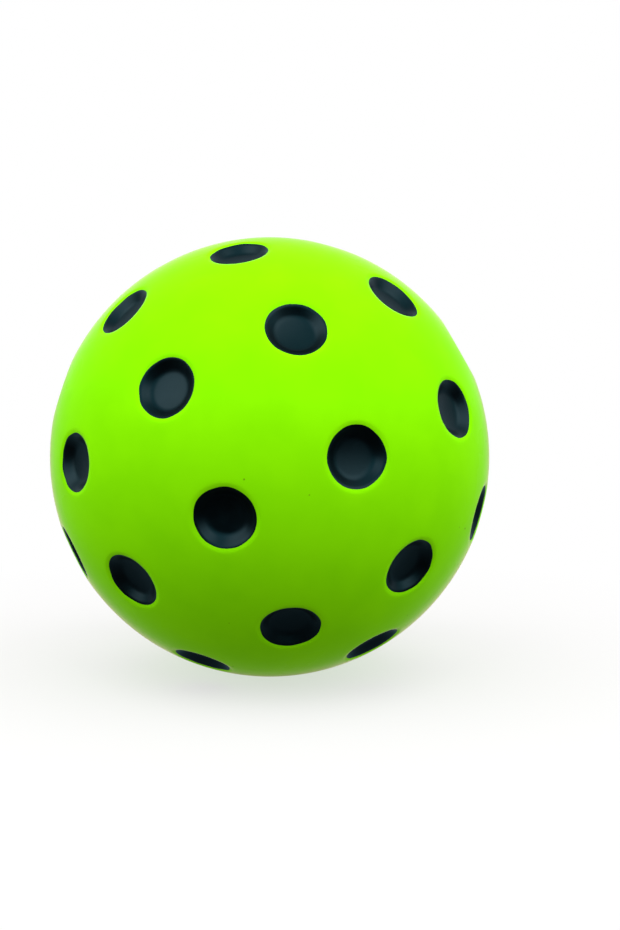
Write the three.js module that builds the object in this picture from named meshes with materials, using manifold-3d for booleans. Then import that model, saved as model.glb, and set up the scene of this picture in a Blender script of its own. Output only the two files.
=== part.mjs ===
// Foam pickleball: a soft foam ball whose moulded, black-coated dimples stand where a hard
// pickleball has its holes. Millimetres, +Z up, with the ball's centre at the origin.
// The front half faces -Y. The ball lies rolled onto one dimple of its rear half, which points
// straight down, so it rests on that dimple's lip.

import * as THREE from "three";
import { mergeVertices } from "three/addons/utils/BufferGeometryUtils.js";
import Module from "manifold-3d";

// Driving dimensions
const ballDiameter = 74;
const dimpleDiameter = 9.2; // across the outer edge of the black coat
const dimpleFloorDiameter = 5.4; // the flat disc at the bottom of a dimple
const dimpleDepth = 1.5; // from the rim's plane down to that disc
const lipDrop = 0.2; // how far the rounded lip brings that plane in from the ball's surface
const coatThickness = 0.4; // of the black coat that lines a dimple
const skinUnderDimple = 0.8; // the least skin left between a dimple's pocket and the foam
const fitGap = 0.3; // between pieces that are formed against each other

// One mould half holds rings of evenly spaced dimples round the mould's axis, which is +Z in
// the half's own frame. polar is the angle from that axis, and azimuth is where the ring starts.
const rings = [
  { count: 4, polar: 23.6, azimuth: 69.9 },
  { count: 4, polar: 53.1, azimuth: 8.3 },
  { count: 4, polar: 54.3, azimuth: 48.1 },
  { count: 8, polar: 78.0, azimuth: 28.3 },
];
const outerRing = rings[rings.length - 1];
const straightDown = 270; // the azimuth that points to the floor

// Facets
const ballSegments = 48;
const outerSteps = 12; // from pole to parting face
const innerSteps = 10;
const coreDetail = 5;
const dimpleSegments = 12;
const wallSteps = 2;

// Sizes that follow from them
const ballRadius = ballDiameter / 2;
const dimpleRadius = dimpleDiameter / 2;
const floorRadius = dimpleFloorDiameter / 2;
const wallWidth = dimpleRadius - coatThickness - floorRadius;
const rimHeight = Math.sqrt(ballRadius ** 2 - dimpleRadius ** 2) - lipDrop; // from the centre
const lipReach = Math.sqrt(ballRadius ** 2 - rimHeight ** 2); // where the rim's plane leaves the ball
const pocketGrowth = coatThickness + fitGap;
const pocketFloor = rimHeight - dimpleDepth - pocketGrowth;
const skinInnerRadius = pocketFloor - skinUnderDimple;
const coreRadius = skinInnerRadius - fitGap;
const pocketHeadroom = 1; // how far the cutting shape stands out of the ball

const skinMaterial = new THREE.MeshStandardMaterial({ color: 0x8ff400, roughness: 0.5 });
const coatMaterial = new THREE.MeshStandardMaterial({ color: 0x0b0f12, roughness: 0.45 });
const foamMaterial = new THREE.MeshStandardMaterial({ color: 0xd9e8a0, roughness: 0.95 });

const wasm = await Module();
wasm.setup();

// A closed surface as a solid that can be cut. Vertices in one place are merged, and the faces
// that this leaves without area, at a turned shape's poles, are dropped.
function toSolid(geometry) {
  const bare = geometry.clone();
  bare.deleteAttribute("normal");
  bare.deleteAttribute("uv");
  const merged = mergeVertices(bare, 1e-4);
  const corners = [];
  for (let i = 0; i < merged.index.count; i += 3) {
    const [a, b, c] = merged.index.array.slice(i, i + 3);
    if (a !== b && b !== c && c !== a) corners.push(a, b, c);
  }
  return new wasm.Manifold(
    new wasm.Mesh({
      numProp: 3,
      vertProperties: merged.attributes.position.array,
      triVerts: new Uint32Array(corners),
    }),
  );
}

function toGeometry(solid) {
  const mesh = solid.getMesh();
  const geometry = new THREE.BufferGeometry();
  geometry.setAttribute("position", new THREE.BufferAttribute(mesh.vertProperties, 3));
  geometry.setIndex(new THREE.BufferAttribute(mesh.triVerts, 1));
  geometry.computeVertexNormals();
  return geometry;
}

// A section of [distance from the axis, height] points turned about Z.
function turned(section, segments) {
  const points = section.map(([radius, height]) => new THREE.Vector2(radius, height));
  return new THREE.LatheGeometry(points, segments).rotateX(Math.PI / 2);
}

// The arc of a half shell's section, from its parting face up to the pole.
function arc(radius, steps) {
  const start = Math.asin(fitGap / 2 / radius);
  const points = [];
  for (let i = 0; i < steps; i += 1) {
    const rise = start + (i / steps) * (Math.PI / 2 - start);
    points.push([radius * Math.cos(rise), radius * Math.sin(rise)]);
  }
  points.push([0, radius]);
  return points;
}

// The section of a dimple's dish, pushed outwards by growth: a flat floor that turns up through
// a quarter of an ellipse into the rim.
function dish(growth) {
  const points = [[0, rimHeight - dimpleDepth - growth]];
  for (let i = 0; i <= wallSteps; i += 1) {
    const turn = ((i / wallSteps) * Math.PI) / 2;
    points.push([
      floorRadius + (wallWidth + growth) * Math.sin(turn),
      rimHeight - (dimpleDepth + growth) * Math.cos(turn),
    ]);
  }
  return points;
}

// The coat is the layer between two dishes, with a flat edge at the rim.
function coatGeometry() {
  return toGeometry(toSolid(turned([...dish(coatThickness), ...dish(0).reverse()], dimpleSegments)));
}

// What is cut out of the skin for a dimple and its coat. Round the dimple it cuts a level lip, which
// stands for the rounded one of the moulded skin, and which the ball rests on.
function pocketGeometry() {
  const top = ballRadius + pocketHeadroom;
  const lipEdge = (lipReach + fitGap) / Math.cos(Math.PI / dimpleSegments);
  const section = dish(pocketGrowth);
  section.push([lipEdge, rimHeight]);
  section.push([lipEdge, top]);
  section.push([0, top]);
  return turned(section, dimpleSegments);
}

// Where each dimple of a half lies: its own +Z points out through the dimple.
function dimplePlaces() {
  return rings.flatMap(({ count, polar, azimuth }) =>
    Array.from({ length: count }, (_, i) => {
      const around = THREE.MathUtils.degToRad(azimuth + (360 / count) * i);
      return new THREE.Euler(0, THREE.MathUtils.degToRad(polar), around, "ZYX");
    }),
  );
}

// A half shell of the moulded skin, with a pocket for every dimple.
function skinGeometry() {
  const section = [...arc(ballRadius, outerSteps), ...arc(skinInnerRadius, innerSteps).reverse()];
  const closed = [...section, section[0]];
  const shell = toSolid(turned(closed, ballSegments));
  const pocket = pocketGeometry();
  const pockets = dimplePlaces().map((place) =>
    toSolid(pocket.clone().applyMatrix4(new THREE.Matrix4().makeRotationFromEuler(place))),
  );
  return toGeometry(pockets.reduce((cut, next) => cut.subtract(next), shell));
}

function named(name, geometry, material) {
  const mesh = new THREE.Mesh(geometry, material);
  mesh.name = name;
  return mesh;
}

// One half of the ball as it leaves its mould half: the skin and the coats in its dimples.
function half(side, skin, coat) {
  const group = new THREE.Group();
  group.add(named(`${side}_skin`, skin, skinMaterial));
  dimplePlaces().forEach((place, i) => {
    const number = String(i + 1).padStart(2, "0");
    const lining = named(`${side}_dimple_coat_${number}`, coat, coatMaterial);
    lining.rotation.copy(place);
    group.add(lining);
  });
  return group;
}

const ball = new THREE.Group();
ball.add(named("foam_core", new THREE.IcosahedronGeometry(coreRadius, coreDetail), foamMaterial));

const skin = skinGeometry();
const coat = coatGeometry();
const front = half("front", skin, coat);
ball.add(front);

// The rear half comes from a mould half like the front one. It is turned over, and then turned
// about the mould's axis until one dimple of its outer ring points straight down.
const rear = half("rear", skin, coat);
const turn = THREE.MathUtils.degToRad(straightDown + outerRing.azimuth);
rear.rotation.set(Math.PI, 0, turn, "ZYX");
ball.add(rear);

// The mould's axis leans back from the floor's plane so that this dimple is level.
ball.rotation.x = THREE.MathUtils.degToRad(outerRing.polar);

const part = new THREE.Group();
part.add(ball);

export default part;
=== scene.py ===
# %% [markdown]
# # A foam pickleball
#
# This lesson gives a soft practice ball its finished look. The CAD model already holds the ball's
# real size, its two moulded halves and the place of every dimple, so nothing is measured again here:
# each place is read from the CAD nodes. What Blender adds is the fine surface, which is the rounded
# lip of each dimple, the thin black paint in it, the moulding line and the finish of the foam skin.

import math
import random

import bmesh
import bpy
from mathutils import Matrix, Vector


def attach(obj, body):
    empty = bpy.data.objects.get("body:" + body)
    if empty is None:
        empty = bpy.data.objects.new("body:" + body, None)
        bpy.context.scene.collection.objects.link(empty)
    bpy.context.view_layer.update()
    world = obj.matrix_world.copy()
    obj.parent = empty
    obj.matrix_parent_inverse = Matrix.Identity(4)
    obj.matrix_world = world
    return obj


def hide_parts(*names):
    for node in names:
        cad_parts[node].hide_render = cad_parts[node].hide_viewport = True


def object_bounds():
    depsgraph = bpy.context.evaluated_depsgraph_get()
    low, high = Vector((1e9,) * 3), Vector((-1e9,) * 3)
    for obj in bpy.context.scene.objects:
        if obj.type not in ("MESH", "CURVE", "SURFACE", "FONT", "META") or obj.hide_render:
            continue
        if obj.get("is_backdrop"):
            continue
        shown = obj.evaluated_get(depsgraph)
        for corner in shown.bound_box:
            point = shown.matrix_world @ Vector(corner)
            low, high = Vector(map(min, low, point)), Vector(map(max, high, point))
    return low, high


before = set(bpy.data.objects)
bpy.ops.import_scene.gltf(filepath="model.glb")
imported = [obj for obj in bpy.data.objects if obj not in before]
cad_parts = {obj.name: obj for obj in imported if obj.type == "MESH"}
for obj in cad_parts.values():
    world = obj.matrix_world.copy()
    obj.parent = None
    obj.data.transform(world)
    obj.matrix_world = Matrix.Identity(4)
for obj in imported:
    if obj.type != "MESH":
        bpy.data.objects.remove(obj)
cad_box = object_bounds()

# %% [markdown]
# ## What the CAD ball says
#
# A CAD node comes in as loose triangles, so each corner is there several times. A coat is the same
# all round its dimple's axis. So the middle of its corners, each counted once, lies on that axis, and
# the direction from the ball's centre to that middle is where the dimple points.

# %% Read the ball's size and the way that each dimple points
MM = 0.001
SIDES = ("front", "rear")
DIMPLES_PER_SIDE = 20
NEAR_AXIS = 0.1 * MM  # a corner within this of a dimple's axis counts as on it


def corners(node):
    """Each corner of a CAD node, once."""
    places = {tuple(round(x, 7) for x in v.co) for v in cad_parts[node].data.vertices}
    return [Vector(place) for place in sorted(places)]


def coat_node(side, number):
    return f"{side}_dimple_coat_{number:02d}"


def axis_through(node):
    """The direction from the ball's centre through the middle of a node."""
    return sum(corners(node), Vector()).normalized()


numbers = range(1, DIMPLES_PER_SIDE + 1)
axes = {side: [axis_through(coat_node(side, n)) for n in numbers] for side in SIDES}
ball_radius = (cad_box[1].x - cad_box[0].x) / 2

first = axes["front"][0]
coat_corners = [(c - c.dot(first) * first).length for c in corners(coat_node("front", 1))]
black_radius = max(coat_corners)
floor_height = max(
    c.dot(first)
    for c, off in zip(corners(coat_node("front", 1)), coat_corners)
    if off < NEAR_AXIS
)
print(f"ball radius {ball_radius / MM:.2f} mm, black radius {black_radius / MM:.2f} mm,")
print(f"dimple floor {floor_height / MM:.2f} mm from the ball's centre")

# %% [markdown]
# ## The section of a dimple
#
# A moulded dimple isn't a cut with sharp edges. The green skin rolls over into it in a soft lip, and
# the black starts on that lip. Past a shoulder a straight wall leans down to a small foot, and then
# comes a floor that is dished a little. A drawn list of points could give this section, but then each
# change would mean new points. Arcs are better, as a mould maker would draw it, each with a bend
# radius and the slope at which it ends. A slope counts from level, and is negative on the ball itself,
# which still rises towards the dimple's axis.

# %% Draw the section, from the ball's surface in to the middle of the dimple
# each bend: its radius, the slope in degrees at which it ends, and its steps
LIP_BENDS = ((8.0 * MM, -5, 3), (1.5 * MM, 11, 6), (3.5 * MM, 17, 3))
SHOULDER_BEND = (1.2 * MM, 42, 4)
FOOT_BEND = (1.8 * MM, 7, 7)
FLOOR_STEPS = 6
FLOOR_END_SLOPE = 0.4  # degrees: not quite level, so that the last ring has a width and can be merged
COLLAR = 0.22 * MM  # how far a dimple's piece of skin goes on over the ball, past the lip


def slope_sine(degrees):
    return math.sin(math.radians(degrees))


def on_ball(radius):
    """A section point on the ball's surface: distance from the axis, height, slope."""
    return radius, math.sqrt(ball_radius**2 - radius**2), -math.asin(radius / ball_radius)


def bend_on(section, bend, end_slope, steps):
    """Carries the section on inwards through an arc, which ends at a slope in degrees."""
    radius, height, slope = section[-1]
    end = math.radians(end_slope)
    over = bend if end > slope else -bend  # over a lip, or out into a hollow
    for i in range(1, steps + 1):
        turn = slope + (end - slope) * i / steps
        inwards = over * (math.sin(turn) - math.sin(slope))
        down = over * (math.cos(slope) - math.cos(turn))
        section.append((radius - inwards, height - down, turn))


def wall_run(section):
    """The straight wall's run inwards that puts the floor's middle at the CAD floor's height."""
    radius, height, slope = section[-1]
    bend, flat, _ = FOOT_BEND
    flat = math.radians(flat)
    foot_width = bend * (math.sin(slope) - math.sin(flat))
    foot_drop = bend * (math.cos(flat) - math.cos(slope))
    dish = math.tan(flat / 2)  # how far the floor drops for each unit of its radius
    to_fall = height - foot_drop - (radius - foot_width) * dish - floor_height
    return to_fall / (math.tan(slope) - dish)


first_bend, first_slope, _ = LIP_BENDS[0]
lip_rest = sum(
    bend * (slope_sine(end) - slope_sine(before))
    for (_, before, _), (bend, end, _) in zip(LIP_BENDS, LIP_BENDS[1:])
)
lip_width = black_radius + first_bend * slope_sine(first_slope) + lip_rest
lip_start = lip_width / (1 - first_bend / ball_radius)

dimple_section = [on_ball(lip_start + COLLAR), on_ball(lip_start)]
for bend, end, steps in LIP_BENDS:
    bend_on(dimple_section, bend, end, steps)
black_start = len(dimple_section) - 1
bend_on(dimple_section, *SHOULDER_BEND)
shoulder = dimple_section[-1]
run = wall_run(dimple_section)
dimple_section.append((shoulder[0] - run, shoulder[1] - run * math.tan(shoulder[2]), shoulder[2]))
bend_on(dimple_section, *FOOT_BEND)
floor_edge = dimple_section[-1]
floor_bend = floor_edge[0] / math.sin(floor_edge[2])
bend_on(dimple_section, floor_bend, FLOOR_END_SLOPE, FLOOR_STEPS)
black_edge, middle = dimple_section[black_start], dimple_section[-1]
print(f"section: {len(dimple_section)} points, lip starts at {lip_start / MM:.2f} mm,")
print(f"black starts at {black_edge[0] / MM:.2f}, {black_edge[1] / MM:.2f} mm,")
print(f"wall runs {run / MM:.2f} mm, floor's edge at {floor_edge[0] / MM:.2f} mm,")
print(f"middle {middle[1] / MM:.2f} mm high")

# %% [markdown]
# ## Working in edit mode
#
# An operator acts on whatever is selected. So each step starts by deselecting everything, and then
# picks what it needs by its place. These small helpers do that.

# %% Helpers for selecting
def only(*pieces):
    """Selects these objects and no others, and makes the first one active."""
    bpy.ops.object.select_all(action="DESELECT")
    for piece in pieces:
        piece.select_set(True)
    bpy.context.view_layer.objects.active = pieces[0]


def start_editing(piece):
    only(piece)
    bpy.ops.object.mode_set(mode="EDIT")
    bpy.ops.mesh.select_all(action="SELECT")


def stop_editing():
    bpy.ops.object.mode_set(mode="OBJECT")


def pick_edges(piece, test):
    """In edit mode, selects the open edges whose two ends pass a test, and nothing else."""
    bpy.ops.mesh.select_mode(type="EDGE")
    bpy.ops.mesh.select_all(action="DESELECT")
    mesh = bmesh.from_edit_mesh(piece.data)
    found = [e for e in mesh.edges if e.is_boundary and all(test(v.co) for v in e.verts)]
    for edge in found:
        edge.select_set(True)
    bmesh.update_edit_mesh(piece.data)
    return len(found)


def open_edges(piece):
    """How many edges don't lie between exactly two faces."""
    mesh = bmesh.new()
    mesh.from_mesh(piece.data)
    count = sum(1 for e in mesh.edges if not e.is_manifold)
    mesh.free()
    return count


def settle(piece):
    """Puts the piece's place into its mesh, so that the object itself sits at the origin."""
    only(piece)
    bpy.ops.object.transform_apply(location=True, rotation=True, scale=True)


# %% [markdown]
# ## One dimple of skin
#
# The forty dimples are alike, so one is modelled and copied. It could be turned with Spin or cut out
# of the ball with a Boolean, but a Boolean leaves ragged triangles at the lip, just where the light
# shows them. So a circle is extruded ring by ring down the section: each ring is moved down and
# scaled in, and the last one is merged into a point.

# %% Model the dimple
AROUND = 80  # corners in a ring


def draw_rings(section):
    """Extrudes the selected ring from the section's first point to its last."""
    for (radius, height, *_), (next_radius, next_height, *_) in zip(section, section[1:]):
        down = (0, 0, next_height - height)
        bpy.ops.mesh.extrude_region_move(TRANSFORM_OT_translate={"value": down})
        share = next_radius / radius
        bpy.ops.transform.resize(value=(share, share, 1), center_override=(0, 0, next_height))


def ring_at(name, point):
    """Starts a piece as one ring round the Z axis, at a section's point."""
    radius, height, *_ = point
    bpy.ops.object.select_all(action="DESELECT")
    bpy.ops.mesh.primitive_circle_add(vertices=AROUND, radius=radius, location=(0, 0, height))
    piece = bpy.context.object
    piece.name = piece.data.name = name
    settle(piece)
    start_editing(piece)
    return piece


dimple = ring_at("dimple_of_skin", dimple_section[0])
draw_rings(dimple_section)
bpy.ops.mesh.merge(type="CENTER")
stop_editing()
print("dimple of skin:", len(dimple.data.polygons), "faces")

# %% [markdown]
# ## One film of black paint
#
# The black in a dimple is a thin film that follows the skin's section. Solidify could give it a
# thickness, but its edge would be a square step. Here the film is drawn as two surfaces from one ring.
# The upper one rises from a fine edge to the film's thickness, and the lower one stays close to the
# skin.

# %% Model the film
FILM = 0.030 * MM  # thickness of the paint
EDGE_FILM = 0.014 * MM  # its thickness at the edge
EDGE_RISE = (0.65, 0.85)  # shares of the thickness that it has just inside the edge
SKIN_GAP = 0.010 * MM  # keeps the film's underside clear of the skin


def lifted(point, rise):
    """A section point moved square to the section, out of the skin."""
    radius, height, slope = point
    return radius - rise * math.sin(slope), height + rise * math.cos(slope)


black_section = dimple_section[black_start:]
film_edge = lifted(black_section[0], EDGE_FILM)
rises = [share * FILM for share in EDGE_RISE] + [FILM] * len(black_section)
upper = [film_edge] + [lifted(p, rise) for p, rise in zip(black_section[1:], rises)]
lower = [film_edge] + [lifted(p, SKIN_GAP) for p in black_section[1:]]

film = ring_at("film_of_paint", film_edge)
draw_rings(upper)
bpy.ops.mesh.merge(type="CENTER")
pick_edges(film, lambda co: True)
draw_rings(lower)
bpy.ops.mesh.merge(type="CENTER")
bpy.ops.mesh.select_all(action="SELECT")
bpy.ops.mesh.normals_make_consistent(inside=False)
stop_editing()
print("film of paint:", len(film.data.polygons), "faces,", open_edges(film), "open edges")

# %% [markdown]
# ## Moulded foam is never quite round
#
# Every dimple of a soft ball comes out of its mould a little different: shifted by a hair, or a trace
# oval. And the paint doesn't stop at a perfect circle. Both are done in code, on each copy, because
# an operator can't follow the skin's slope. The numbers come from a seed, so that each run gives the
# same ball.

# %% Helpers that make each copy a little different
# An outline is a sum of waves. An order is how many waves go once round the dimple: order 1 shifts
# the outline, and order 2 makes it oval. A size is the most that a wave of order 1 could move it.
WARP = 0.08 * MM  # size, for a dimple's outline
WARP_ORDERS = (1, 4)
PAINT_STRAY = 0.045 * MM  # size, for the paint's edge on that outline
PAINT_ORDERS = (3, 11)
PAINT_STRAY_BAND = 0.7 * MM  # how far in from the paint's edge this reaches
SIDE_SEEDS = 1000  # between the seeds of the two sides
PAINT_SEEDS = 500  # between the seeds of a dimple and of its paint


def wave(seed, size, first_order, last_order):
    """How far an outline strays, as a function of the angle round the dimple."""
    draw = random.Random(seed)
    terms = [
        (order, draw.uniform(-1, 1) * size / math.sqrt(order), draw.uniform(0, 2 * math.pi))
        for order in range(first_order, last_order + 1)
    ]
    return lambda angle: sum(part * math.cos(order * angle + phase) for order, part, phase in terms)


def fade(value, none, full):
    """0 at none, 1 at full, and smooth between them."""
    share = min(1.0, max(0.0, (value - none) / (full - none)))
    return share * share * (3 - 2 * share)


def skin_height(radius):
    """The height of the dimple's section at a distance from its axis."""
    for (r0, h0, _), (r1, h1, _) in zip(dimple_section, dimple_section[1:]):
        if r1 <= radius <= r0:
            return h1 + (h0 - h1) * (radius - r1) / (r0 - r1)
    return dimple_section[0][1] if radius > dimple_section[0][0] else dimple_section[-1][1]


def warp_dimple(mesh, seed):
    """Moves a dimple's outline about, and leaves its outer collar on the ball."""
    stray = wave(seed, WARP, *WARP_ORDERS)
    for v in mesh.vertices:
        radius = math.hypot(v.co.x, v.co.y)
        if radius > 0:
            share = fade(radius, lip_start, black_radius)
            grow = 1 + stray(math.atan2(v.co.y, v.co.x)) * share / black_radius
            v.co.x *= grow
            v.co.y *= grow


def stray_paint(mesh, seed):
    """Moves the paint's edge in and out along the skin's slope."""
    stray = wave(seed, PAINT_STRAY, *PAINT_ORDERS)
    for v in mesh.vertices:
        radius = math.hypot(v.co.x, v.co.y)
        share = fade(radius, black_radius - PAINT_STRAY_BAND, black_radius)
        if share > 0:
            moved = radius + stray(math.atan2(v.co.y, v.co.x)) * share
            v.co.z += skin_height(moved) - skin_height(radius)
            v.co.x *= moved / radius
            v.co.y *= moved / radius


def copy_of(piece, name):
    """A copy with a mesh of its own."""
    made = piece.copy()
    made.data = piece.data.copy()
    made.name = made.data.name = name
    bpy.context.scene.collection.objects.link(made)
    return made


def turn_to(piece, turn):
    """Turns a piece about the ball's centre, and puts the turn into its mesh."""
    piece.rotation_mode = "QUATERNION"
    piece.rotation_quaternion = turn
    settle(piece)


UP = Vector((0, 0, 1))
seeds = {(side, n): SIDE_SEEDS * i + n for i, side in enumerate(SIDES) for n in numbers}
print("seeds of the dimples:", min(seeds.values()), "to", max(seeds.values()))

# %% [markdown]
# ## The black coats
#
# Each coat is a copy of the film: its edge strays, then it takes its dimple's warp, and then it is
# turned from straight up to the way that its dimple points.

# %% Copy the film into all forty dimples
PAINT_CREASE = math.radians(60)  # an edge that turns by more stays sharp

coats = {}
for side in SIDES:
    for n, axis in zip(numbers, axes[side]):
        coat = copy_of(film, f"coat_{side}_{n:02d}")
        stray_paint(coat.data, seeds[side, n] + PAINT_SEEDS)
        warp_dimple(coat.data, seeds[side, n])
        turn_to(coat, UP.rotation_difference(axis))
        bpy.ops.object.shade_smooth_by_angle(angle=PAINT_CREASE)
        coats[side, n] = coat
bpy.data.objects.remove(film)
print("coats:", len(coats))

# %% [markdown]
# ## A moulded half of the skin
#
# The ball comes out of a mould of two halves, and so it is modelled in two. A half starts as a fine
# ico sphere, because its triangles are nearly alike all over and leave no pole. Bisect does the
# cutting: a plane cuts a ball in a circle, so one bisect takes off the lower half, and one for each
# dimple opens a round hole that its dimple fits into.
#
# Where the halves meet, a moulded ball has a fine raised line. The open edge is extruded over a tiny
# bead and down to the flat parting face, in the same way as the dimple's rings. The inside is a
# second, coarser sphere, turned inside out. Bridge then closes each flat ring between two open edges,
# which need not have the same number of corners.

# %% Cut the half ball and open its holes
HOLE_MARGIN = 0.4 * MM  # between a dimple's collar and the hole in the ball
SEAM_START = 0.32 * MM  # how far from the parting face the moulding line begins
FACE_GAP = 0.01 * MM  # half of the gap between the two parting faces
EDGE_REACH = 0.001 * MM  # how far a corner may be off an open edge's height
SKIN_DETAIL = 7  # subdivisions of its ico sphere
INSIDE_DETAIL = 5
CUT_THRESHOLD = 1e-4 * MM  # the usual one is for work in metres, and would miss corners near a plane
hole_radius = dimple_section[0][0] + HOLE_MARGIN
hole_height = math.sqrt(ball_radius**2 - hole_radius**2)
inside_corners = [c.length for side in SIDES for c in corners(f"{side}_skin")]
inside_radius = min(inside_corners)

# distance from the parting face, height over the ball's surface
SEAM = [
    (SEAM_START, 0.0),
    (0.24 * MM, 0.004 * MM),
    (0.18 * MM, 0.016 * MM),
    (0.12 * MM, 0.030 * MM),
    (0.07 * MM, 0.026 * MM),
    (0.03 * MM, -0.004 * MM),
    (FACE_GAP, -0.06 * MM),
]


def cut_off(place, away):
    """In edit mode, cuts the mesh at a plane and deletes what lies beyond it."""
    bpy.ops.mesh.select_all(action="SELECT")
    bpy.ops.mesh.bisect(plane_co=place, plane_no=away, clear_outer=True, threshold=CUT_THRESHOLD)


def half_ball(name, radius, detail, start):
    """The part of a ball that lies above a height, open below."""
    bpy.ops.object.select_all(action="DESELECT")
    bpy.ops.mesh.primitive_ico_sphere_add(subdivisions=detail, radius=radius)
    piece = bpy.context.object
    piece.name = piece.data.name = name
    start_editing(piece)
    cut_off((0, 0, start), (0, 0, -1))
    return piece


def cut_half(name, directions):
    """A half ball with a hole for each dimple, its moulding line and its inside."""
    piece = half_ball(name, ball_radius, SKIN_DETAIL, SEAM_START)
    for direction in directions:
        cut_off(direction * hole_height, direction)
    pick_edges(piece, lambda co: co.z < SEAM_START + EDGE_REACH)
    draw_rings([(math.sqrt(ball_radius**2 - z**2) + rise, z) for z, rise in SEAM])
    stop_editing()

    inside = half_ball(name + "_inside", inside_radius, INSIDE_DETAIL, FACE_GAP)
    bpy.ops.mesh.select_all(action="SELECT")
    bpy.ops.mesh.flip_normals()
    stop_editing()
    only(piece, inside)
    bpy.ops.object.join()
    start_editing(piece)
    pick_edges(piece, lambda co: co.z < FACE_GAP + EDGE_REACH)
    bpy.ops.mesh.bridge_edge_loops()
    stop_editing()
    return piece


# %% [markdown]
# The half is modelled with its mould's axis straight up, where the parting face is level and a ring
# can be scaled about Z. The mould's axis is the mean of its dimples' directions, because each ring of
# dimples is spaced evenly round it. The dimples are turned back by the same turn, and the finished
# half is turned over to its place last.

# %% Fit the dimples into each half
HOLE_REACH = 0.1 * MM  # how far outside a hole's radius the corners of its edge may be
SKIN_CREASE = math.radians(40)  # an edge that turns by more stays sharp


def near_axis(direction, reach):
    """A test for points round a dimple's axis, on its side of the ball."""
    return lambda co: co.dot(direction) > 0 and (co - co.dot(direction) * direction).length < reach


def model_half(side):
    """One half of the skin with its dimples fitted in, turned to its place in the ball."""
    mould_axis = sum(axes[side], Vector()).normalized()
    turn = UP.rotation_difference(mould_axis)
    directions = [turn.inverted() @ axis for axis in axes[side]]
    piece = cut_half(f"skin_{side}", directions)
    fitted = []
    for n, axis in zip(numbers, axes[side]):
        part = copy_of(dimple, f"dimple_{side}_{n:02d}")
        warp_dimple(part.data, seeds[side, n])
        turn_to(part, turn.inverted() @ UP.rotation_difference(axis))
        fitted.append(part)
    only(piece, *fitted)
    bpy.ops.object.join()
    start_editing(piece)
    for direction in directions:
        pick_edges(piece, near_axis(direction, hole_radius + HOLE_REACH))
        bpy.ops.mesh.bridge_edge_loops()
    bpy.ops.mesh.select_mode(type="VERT")
    bpy.ops.mesh.select_all(action="SELECT")
    bpy.ops.mesh.normals_make_consistent(inside=False)
    stop_editing()
    turn_to(piece, turn)
    bpy.ops.object.shade_smooth_by_angle(angle=SKIN_CREASE)
    print(f"{piece.name}: {len(piece.data.polygons)} faces, {open_edges(piece)} open edges")
    return piece


skins = {side: model_half(side) for side in SIDES}
bpy.data.objects.remove(dimple)

# %% [markdown]
# ## The foam core
#
# Nobody sees the core until the ball is cut open, but it is the bulk of the ball. Its surface is
# open foam: bubbles of about a millimetre that were cut off by the skin. A Displace modifier with a
# cell texture presses them into a fine sphere, and is then applied.

# %% Model the core
CORE_DETAIL = 7
CELL = 1.1 * MM  # width of a bubble
CELL_DEPTH = 0.25 * MM
core_radius = max(c.length for c in corners("foam_core"))

bpy.ops.object.select_all(action="DESELECT")
bpy.ops.mesh.primitive_ico_sphere_add(subdivisions=CORE_DETAIL, radius=core_radius)
core = bpy.context.object
core.name = core.data.name = "foam_ball"
cells = bpy.data.textures.new("foam_cells", "VORONOI")
cells.noise_scale = CELL
press = core.modifiers.new("press_cells", "DISPLACE")
press.texture = cells
press.strength = CELL_DEPTH
press.mid_level = 1.0  # so the cells go inwards
bpy.ops.object.modifier_apply(modifier=press.name)
bpy.ops.object.shade_smooth()
print("foam core:", len(core.data.polygons), "faces, radius", round(core_radius / MM, 2), "mm")

# %% [markdown]
# ## Each piece in its CAD node's place
#
# Every piece rides on the ball's one body and takes the place of its CAD node. The skins and the core
# are soft foam.

# %% Ride and replace
for (side, n), coat in coats.items():
    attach(coat, "root")
    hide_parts(coat_node(side, n))
for side, skin in skins.items():
    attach(skin, "root")
    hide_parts(f"{side}_skin")
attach(core, "root")
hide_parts("foam_core")
print("pieces:", len(coats) + len(skins) + 1)

# %% [markdown]
# ## Grain for moulded surfaces
#
# The skin, the paint and the foam all carry a grain: fine unevenness in height, and wider patches
# where the finish changes a little. It is one node group, built once, and each material gives it its
# own sizes. It reads Object coordinates, which are metres on the ball.

# %% Build the grain group
def add_node(tree, kind, **inputs):
    """Adds a node. An input is named by its socket, with _ for a space."""
    made = tree.nodes.new(kind)
    for name, value in inputs.items():
        made.inputs[name.replace("_", " ")].default_value = value
    return made


def build_grain():
    """Inputs: Vector, Grain Scale, Patch Scale. Outputs: Height and Patches, each from 0 to 1."""
    tree = bpy.data.node_groups.new("Moulded grain", "ShaderNodeTree")
    for name, kind in (
        ("Vector", "NodeSocketVector"),
        ("Grain Scale", "NodeSocketFloat"),
        ("Patch Scale", "NodeSocketFloat"),
    ):
        tree.interface.new_socket(name, in_out="INPUT", socket_type=kind)
    for name in ("Height", "Patches"):
        tree.interface.new_socket(name, in_out="OUTPUT", socket_type="NodeSocketFloat")
    given = tree.nodes.new("NodeGroupInput")
    result = tree.nodes.new("NodeGroupOutput")
    fine = add_node(tree, "ShaderNodeTexNoise", Detail=3, Roughness=0.6)
    wide = add_node(tree, "ShaderNodeTexNoise", Detail=2, Roughness=0.5)
    for noise, size, name in ((fine, "Grain Scale", "Height"), (wide, "Patch Scale", "Patches")):
        tree.links.new(given.outputs["Vector"], noise.inputs["Vector"])
        tree.links.new(given.outputs[size], noise.inputs["Scale"])
        tree.links.new(noise.outputs["Fac"], result.inputs[name])
    return tree


grain = build_grain()
print("grain group:", [s.name for s in grain.interface.items_tree])

# %% [markdown]
# These helpers each add a node or two and link them, so that a material reads like a recipe.

# %% Helpers for materials
PATCHES = (0.3, 0.7)  # the part of the patches' range that a finish varies over


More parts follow.
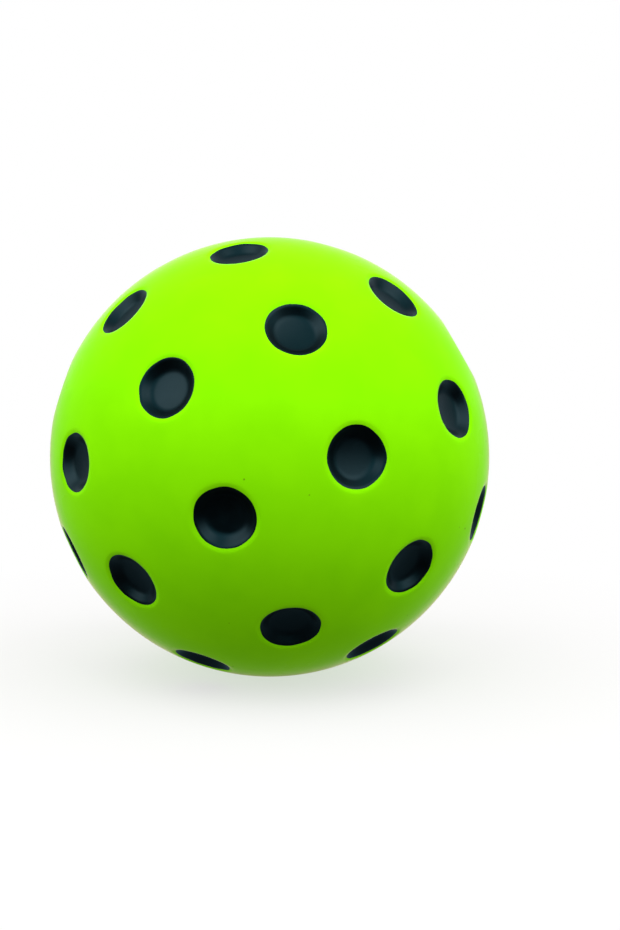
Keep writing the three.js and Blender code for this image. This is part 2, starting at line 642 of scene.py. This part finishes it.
def new_material(name):
    """A material with an empty Principled BSDF, its tree and its Object coordinates."""
    made = bpy.data.materials.new(name)
    made.use_nodes = True
    tree = made.node_tree
    place = tree.nodes.new("ShaderNodeTexCoord").outputs["Object"]
    return made, tree, tree.nodes["Principled BSDF"], place


def new_node(tree, kind, **settings):
    """Adds a node and sets its own settings, such as its operation."""
    made = tree.nodes.new(kind)
    for name, value in settings.items():
        setattr(made, name, value)
    return made


def combine(tree, operation, one, other):
    """Works out one value from two, such as their product or the larger of them."""
    made = new_node(tree, "ShaderNodeMath", operation=operation)
    tree.links.new(one, made.inputs[0])
    tree.links.new(other, made.inputs[1])
    return made.outputs["Value"]


def add_grain(tree, place, grain_scale, patch_scale):
    """The grain group, at a material's own scales."""
    made = tree.nodes.new("ShaderNodeGroup")
    made.node_tree = grain
    made.inputs["Grain Scale"].default_value = grain_scale
    made.inputs["Patch Scale"].default_value = patch_scale
    tree.links.new(place, made.inputs["Vector"])
    return made


def blend_colours(tree, mask, none, full):
    """Goes from one colour to another as a mask goes from 0 to 1. A colour may be a socket."""
    mix = tree.nodes.new("ShaderNodeMix")
    mix.data_type = "RGBA"
    tree.links.new(mask, mix.inputs["Factor"])
    for socket, colour in ((mix.inputs["A"], none), (mix.inputs["B"], full)):
        if isinstance(colour, bpy.types.NodeSocket):
            tree.links.new(colour, socket)
        else:
            socket.default_value = (*colour, 1)
    return mix.outputs["Result"]


def stretch(tree, value, low, high, to_low, to_high):
    """Maps a value from one range to another, and stops at the ends."""
    made = add_node(
        tree, "ShaderNodeMapRange", From_Min=low, From_Max=high, To_Min=to_low, To_Max=to_high
    )
    tree.links.new(value, made.inputs["Value"])
    return made.outputs["Result"]


def raise_bump(tree, shader, height, distance, strength=1.0):
    """Turns a height from 0 to 1 into unevenness of this distance."""
    bump = add_node(tree, "ShaderNodeBump", Strength=strength, Distance=distance)
    tree.links.new(height, bump.inputs["Height"])
    tree.links.new(bump.outputs["Normal"], shader.inputs["Normal"])


# %% [markdown]
# ## The lime skin
#
# The skin of a moulded foam ball has hardly any gloss, and its colour is so strong that it holds
# almost no blue. A plain colour would look like plastic. So the green shifts a little in wide patches,
# a very fine grain breaks up the light, and a few specks of dust lie on it, as on any foam ball out of
# its bag. Towards its outline such a soft skin looks paler. More gloss would give a hard shine there,
# so the shader's Sheen layer does it, which is made for soft surfaces.

# %% Make the lime skin's material
LIME = (0.230, 0.825, 0.0010)
LIME_DEEP = (0.213, 0.790, 0.0008)
SPECK = (0.10, 0.33, 0.006)
LIME_MASK = (0.35, 0.65)  # over which part of the patches' range the green goes to the deeper one
LIME_ROUGHNESS = (0.24, 0.34)
LIME_GRAIN = (5200, 130)  # scales of the grain and of the patches
SPECKS_SCALE = 220  # cells in a metre, so that a cell is 4.5 mm wide
SPECK_SIZE = 0.042  # its radius, as a share of a cell
SPECK_FULL = 0.6  # the share of that radius inside which a speck has its full colour
SPECK_CHOSEN = (0.50, 0.52)  # a cell whose random number is above these has a speck

lime, tree, shader, place = new_material("lime_foam_skin")
skin_grain = add_grain(tree, place, *LIME_GRAIN)
deeper = stretch(tree, skin_grain.outputs["Patches"], *LIME_MASK, 0, 1)
green = blend_colours(tree, deeper, LIME, LIME_DEEP)
spots = add_node(tree, "ShaderNodeTexVoronoi", Scale=SPECKS_SCALE)
tree.links.new(place, spots.inputs["Vector"])
near = stretch(tree, spots.outputs["Distance"], SPECK_SIZE * SPECK_FULL, SPECK_SIZE, 1, 0)
split = tree.nodes.new("ShaderNodeSeparateColor")
tree.links.new(spots.outputs["Color"], split.inputs["Color"])
chosen = stretch(tree, split.outputs["Red"], *SPECK_CHOSEN, 0, 1)
speckled = blend_colours(tree, combine(tree, "MULTIPLY", near, chosen), green, SPECK)
tree.links.new(speckled, shader.inputs["Base Color"])
rough = stretch(tree, skin_grain.outputs["Patches"], *PATCHES, *LIME_ROUGHNESS)
tree.links.new(rough, shader.inputs["Roughness"])
shader.inputs["Specular IOR Level"].default_value = 0.002
shader.inputs["Specular Tint"].default_value = (0.55, 1.0, 0.05, 1)
shader.inputs["Sheen Weight"].default_value = 1.0
shader.inputs["Sheen Tint"].default_value = (1.0, 0.85, 0.70, 1)
shader.inputs["Sheen Roughness"].default_value = 0.20
raise_bump(tree, shader, skin_grain.outputs["Height"], distance=0.010 * MM, strength=0.6)
print("made", lime.name)

# %% [markdown]
# ## The black paint
#
# The paint in the dimples is a cold black with a satin gloss. It is so dark that only the gloss shows
# its shape, as a soft grey sickle on a wall and a faint sheen on the floor.

# %% Make the black paint's material
BLACK = (0.0003, 0.0009, 0.0014)
BLACK_WORN = (0.0006, 0.0018, 0.0024)
BLACK_MASK = (0.35, 0.7)  # over which part of the patches' range the black goes to the worn one
BLACK_ROUGHNESS = (0.34, 0.43)
BLACK_GRAIN = (2800, 420)

black, tree, shader, place = new_material("black_dimple_paint")
paint_grain = add_grain(tree, place, *BLACK_GRAIN)
worn = stretch(tree, paint_grain.outputs["Patches"], *BLACK_MASK, 0, 1)
dark = blend_colours(tree, worn, BLACK, BLACK_WORN)
tree.links.new(dark, shader.inputs["Base Color"])
rough = stretch(tree, paint_grain.outputs["Patches"], *PATCHES, *BLACK_ROUGHNESS)
tree.links.new(rough, shader.inputs["Roughness"])
shader.inputs["Specular IOR Level"].default_value = 0.27
shader.inputs["Specular Tint"].default_value = (0.60, 0.85, 1.0, 1)
shader.inputs["Coat Weight"].default_value = 0.15
shader.inputs["Coat Roughness"].default_value = 0.26
raise_bump(tree, shader, paint_grain.outputs["Height"], distance=0.016 * MM)
print("made", black.name)

# %% [markdown]
# ## The foam
#
# The core's foam is a pale green, quite matt, with painted shade that darkens each open bubble's pit.

# %% Make the foam's material
FOAM = (0.62, 0.74, 0.30)
# painted shade: the colour in the middle of each bubble's pit
FOAM_PIT_SHADE = (0.36, 0.47, 0.13)
FOAM_ROUGHNESS = (0.88, 0.98)
FOAM_GRAIN = (2600, 300)
PIT_EDGE = (0.1, 0.6)  # in cells from a bubble's middle: where its pit begins to fade, and ends

foam, tree, shader, place = new_material("open_foam")
foam_grain = add_grain(tree, place, *FOAM_GRAIN)
bubbles = add_node(tree, "ShaderNodeTexVoronoi", Scale=1 / CELL)
tree.links.new(place, bubbles.inputs["Vector"])
# the painted shade's mask: 1 in a pit's middle, 0 from its edge out
pit_shade = stretch(tree, bubbles.outputs["Distance"], *PIT_EDGE, 1, 0)
tree.links.new(blend_colours(tree, pit_shade, FOAM, FOAM_PIT_SHADE), shader.inputs["Base Color"])
rough = stretch(tree, foam_grain.outputs["Patches"], *PATCHES, *FOAM_ROUGHNESS)
tree.links.new(rough, shader.inputs["Roughness"])
raise_bump(tree, shader, foam_grain.outputs["Height"], distance=0.06 * MM)
print("made", foam.name)

# %% Put the materials on
for skin in skins.values():
    skin.data.materials.clear()
    skin.data.materials.append(lime)
for coat in coats.values():
    coat.data.materials.clear()
    coat.data.materials.append(black)
core.data.materials.clear()
core.data.materials.append(foam)
print("materials:", lime.name, black.name, foam.name)

# %% [markdown]
# ## The floor and the light
#
# The ball stands on a white table in a white room. If everything were truly that bright, its
# underside would be lit as much as its top. A product photo avoids that with black cards and careful
# lamps. Here a Light Path node does it: it tells which kind of ray asks, and the floor and the room
# answer three kinds differently.
#
# - The camera sees plain white, and on the floor the ball's soft shadow, which fades further out.
# - For light that falls on the ball, the floor is a dim and warm glow, weaker in front.
# - For what the ball's gloss mirrors, the floor is cold, and nearly black in front.

# %% Lay the floor
FLOOR_SIZE = 6.0  # metres, like the distances below
FLOOR_SEEN = (0.62, 0.62, 0.62)
SHADOW_KEPT = 0.38  # how much of the shadow shows under the ball
SHADOW_NEAR = 0.02  # up to this distance from the point under the ball it is kept so
SHADOW_FAR = 0.13  # and from this distance on nothing of it is left
# the floor's glow, for light that falls on the ball: from which Y to which it changes, front to
# back, and from which strength to which
BOUNCE = (-0.03, 0.005, 0.30, 0.62)
BOUNCE_WARM = (1.22, 1.0, 0.85)
# the same for what the ball's gloss mirrors
MIRRORED = (-0.045, 0.0, 0.02, 0.27)
FLOOR_COLD = (0.45, 0.95, 1.15)


def mix_shaders(tree, mask, none, full):
    """Goes from one shader to another as a mask goes from 0 to 1."""
    made = tree.nodes.new("ShaderNodeMixShader")
    tree.links.new(mask, made.inputs["Fac"])
    tree.links.new(none, made.inputs[1])
    tree.links.new(full, made.inputs[2])
    return made.outputs["Shader"]


def glow(tree, strength, colour=(1, 1, 1)):
    """Emission. The strength may be a number or a socket."""
    made = add_node(tree, "ShaderNodeEmission", Color=(*colour, 1))
    if isinstance(strength, bpy.types.NodeSocket):
        tree.links.new(strength, made.inputs["Strength"])
    else:
        made.inputs["Strength"].default_value = strength
    return made.outputs["Emission"]


floor_level = min((skins["rear"].matrix_world @ v.co).z for v in skins["rear"].data.vertices)
bpy.ops.object.select_all(action="DESELECT")
bpy.ops.mesh.primitive_plane_add(size=FLOOR_SIZE, location=(0, 0, floor_level))
floor = bpy.context.object
floor.name = "floor"
floor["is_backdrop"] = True

paper, tree, shader, place = new_material("floor_paper")
shader.inputs["Base Color"].default_value = (*FLOOR_SEEN, 1)
shader.inputs["Roughness"].default_value = 0.9
shader.inputs["Specular IOR Level"].default_value = 0.0
path = tree.nodes.new("ShaderNodeLightPath")
distance = new_node(tree, "ShaderNodeVectorMath", operation="LENGTH")
tree.links.new(place, distance.inputs[0])
whiter = stretch(tree, distance.outputs["Value"], SHADOW_NEAR, SHADOW_FAR, 1 - SHADOW_KEPT, 1)
seen = mix_shaders(tree, whiter, shader.outputs["BSDF"], glow(tree, 1.0))
sides = tree.nodes.new("ShaderNodeSeparateXYZ")
tree.links.new(place, sides.inputs["Vector"])
bounce = glow(tree, stretch(tree, sides.outputs["Y"], *BOUNCE), BOUNCE_WARM)
mirrored = glow(tree, stretch(tree, sides.outputs["Y"], *MIRRORED), FLOOR_COLD)
unseen = mix_shaders(tree, path.outputs["Is Glossy Ray"], bounce, mirrored)
top = mix_shaders(tree, path.outputs["Is Camera Ray"], unseen, seen)
underside = tree.nodes.new("ShaderNodeBsdfTransparent").outputs["BSDF"]
below = tree.nodes.new("ShaderNodeNewGeometry").outputs["Backfacing"]
surface = mix_shaders(tree, below, top, underside)
tree.links.new(surface, tree.nodes["Material Output"].inputs["Surface"])
floor.data.materials.append(paper)
print("floor at", round(floor_level / MM, 3), "mm")

# %% [markdown]
# The room answers the same three kinds of ray, and its light depends only on the direction. The camera
# sees white. On the ball it throws a weak light, which grows with height and towards a wall behind.
# Two square softboxes, left and right above the camera, give the rest, so the ball is evenly bright
# from side to side and darkens towards its underside.
#
# The softboxes don't show in the gloss, because lamps that light the green well stand in the wrong
# places for it. What the gloss mirrors is drawn on its own: a cold front that is dark below and fades
# towards the back, a paler wall behind, and two soft white panels.

# %% Light the room
# Each light: from which height or depth to which it changes, and from which strength to which. They
# are the Z and the Y of a direction of length 1, so a depth of 1 is straight behind the ball.
ROOM = (-0.1, 0.7, 0.10, 0.55)  # heights
WALL = (0.10, 0.45, 0.0, 1.0)  # depths
ROOM_WARM = (1.10, 1.0, 1.0)
# what the gloss mirrors
LIT_FRONT = (-0.06, 0.25, 0.02, 1.10)  # heights
DIM_CEILING = (0.70, 0.95, 1.0, 0.8)  # heights
DIM_BEHIND = (-0.3, 0.38, 1.0, 0.12)  # depths
MIRRORED_WALL = (0.10, 0.45, 0.0, 0.48)  # depths
COLD = (0.25, 0.95, 1.05)
PALE = (0.75, 0.95, 1.10)
WHITE = (1, 1, 1)
PANELS = ((-60, 32, 1.3), (52, 36, 1.2))  # azimuth and elevation in degrees, and strength
PANEL_EDGE = (36, 10)  # degrees from a panel's middle: where it begins, and where it is full


def towards(azimuth, elevation):
    """The direction at an azimuth and an elevation in degrees. Azimuth 0 is in front of the ball."""
    around, up = math.radians(azimuth), math.radians(elevation)
    return Vector((math.sin(around) * math.cos(up), -math.cos(around) * math.cos(up), math.sin(up)))


def background(tree, colour, strength):
    """The world's light in one colour. The strength is a socket."""
    made = add_node(tree, "ShaderNodeBackground", Color=(*colour, 1))
    tree.links.new(strength, made.inputs["Strength"])
    return made.outputs["Background"]


world = bpy.data.worlds.new("room")
bpy.context.scene.world = world
world.use_nodes = True
tree = world.node_tree
tree.nodes.clear()
direction = tree.nodes.new("ShaderNodeTexCoord").outputs["Generated"]
parts = tree.nodes.new("ShaderNodeSeparateXYZ")
tree.links.new(direction, parts.inputs["Vector"])
height, depth = parts.outputs["Z"], parts.outputs["Y"]
lights = combine(tree, "MAXIMUM", stretch(tree, height, *ROOM), stretch(tree, depth, *WALL))
front = stretch(tree, height, *LIT_FRONT)
for dimming in (stretch(tree, height, *DIM_CEILING), stretch(tree, depth, *DIM_BEHIND)):
    front = combine(tree, "MULTIPLY", front, dimming)
mirrors = [(COLD, front), (PALE, stretch(tree, depth, *MIRRORED_WALL))]
edge = [math.cos(math.radians(angle)) for angle in PANEL_EDGE]
for azimuth, elevation, strength in PANELS:
    near = new_node(tree, "ShaderNodeVectorMath", operation="DOT_PRODUCT")
    near.inputs[1].default_value = towards(azimuth, elevation)
    tree.links.new(direction, near.inputs[0])
    mirrors.append((WHITE, stretch(tree, near.outputs["Value"], *edge, 0, strength)))
path = tree.nodes.new("ShaderNodeLightPath")
room = background(tree, ROOM_WARM, lights)
mirrored = background(tree, *mirrors[0])
for colour, strength in mirrors[1:]:
    both = tree.nodes.new("ShaderNodeAddShader")
    tree.links.new(mirrored, both.inputs[0])
    tree.links.new(background(tree, colour, strength), both.inputs[1])
    mirrored = both.outputs["Shader"]
unseen = mix_shaders(tree, path.outputs["Is Glossy Ray"], room, mirrored)
white = add_node(tree, "ShaderNodeBackground", Color=(1, 1, 1, 1), Strength=1.0)
shown = mix_shaders(tree, path.outputs["Is Camera Ray"], unseen, white.outputs["Background"])
tree.links.new(shown, tree.nodes.new("ShaderNodeOutputWorld").inputs["Surface"])

SOFTBOX_SIZE = 0.5
SOFTBOX_DISTANCE = 0.4
# name, azimuth and elevation in degrees, and watts
SOFTBOXES = (("softbox_left", -56, 45, 1.80), ("softbox_right", 58, 45, 1.92))


def aim_at_ball(thing, away, distance):
    """Places a lamp or camera in a direction from the ball and turns it to face the ball."""
    thing.location = away * distance
    thing.rotation_euler = away.to_track_quat("Z", "Y").to_euler()


for name, azimuth, elevation, watts in SOFTBOXES:
    bpy.ops.object.light_add(type="AREA")
    lamp = bpy.context.object
    lamp.name = name
    lamp.data.shape = "SQUARE"
    lamp.data.size = SOFTBOX_SIZE
    lamp.data.energy = watts
    lamp.visible_glossy = False
    aim_at_ball(lamp, towards(azimuth, elevation), SOFTBOX_DISTANCE)
print("room:", world.name, "and", len(SOFTBOXES), "softboxes")

# %% [markdown]
# ## The camera
#
# In the picture the ball's outline is a circle, a little left of the middle and a little above it.
# The camera stands between five and six ball radii from the centre and aims at it. The lens follows
# from that distance and from the circle's size, and is shifted to put the circle in its place.

# %% Place the camera
PICTURE = (620, 930)  # pixels
OUTLINE_AT = (269.6, 456.9)  # where the outline's centre is, in those pixels
OUTLINE_RADIUS = 219.7  # in those pixels too
CAMERA_DISTANCE = 5.4 * ball_radius
CAMERA_AZIMUTH = 2.2  # degrees
CAMERA_ELEVATION = 3.5  # degrees
CLIP_START = 0.01  # metres, well short of the ball
SENSOR = 36  # mm, along the picture's longer side

scene = bpy.context.scene
camera_data = bpy.data.cameras.new("camera")
camera = bpy.data.objects.new("camera", camera_data)
scene.collection.objects.link(camera)
aim_at_ball(camera, towards(CAMERA_AZIMUTH, CAMERA_ELEVATION), CAMERA_DISTANCE)
outline_spread = math.tan(math.asin(ball_radius / CAMERA_DISTANCE))
camera_data.sensor_width = SENSOR
camera_data.lens = OUTLINE_RADIUS / PICTURE[1] * SENSOR / outline_spread
camera_data.clip_start = CLIP_START
camera_data.shift_x = (PICTURE[0] / 2 - OUTLINE_AT[0]) / PICTURE[1]
camera_data.shift_y = (OUTLINE_AT[1] - PICTURE[1] / 2) / PICTURE[1]
scene.camera = camera
scene.view_settings.view_transform = "Standard"
print(f"camera at {[round(x / MM, 1) for x in camera.location]} mm, lens {camera_data.lens:.1f} mm")

# %% [markdown]
# ## Close the scene
#
# The finished ball has to keep the CAD ball's size, so both boxes are printed.

# %% Write the sizes and finish
visual_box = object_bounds()
for name, box in (("CAD", cad_box), ("visual", visual_box)):
    print(name, "box in mm:", [round(x / MM, 2) for x in box[0]], [round(x / MM, 2) for x in box[1]])
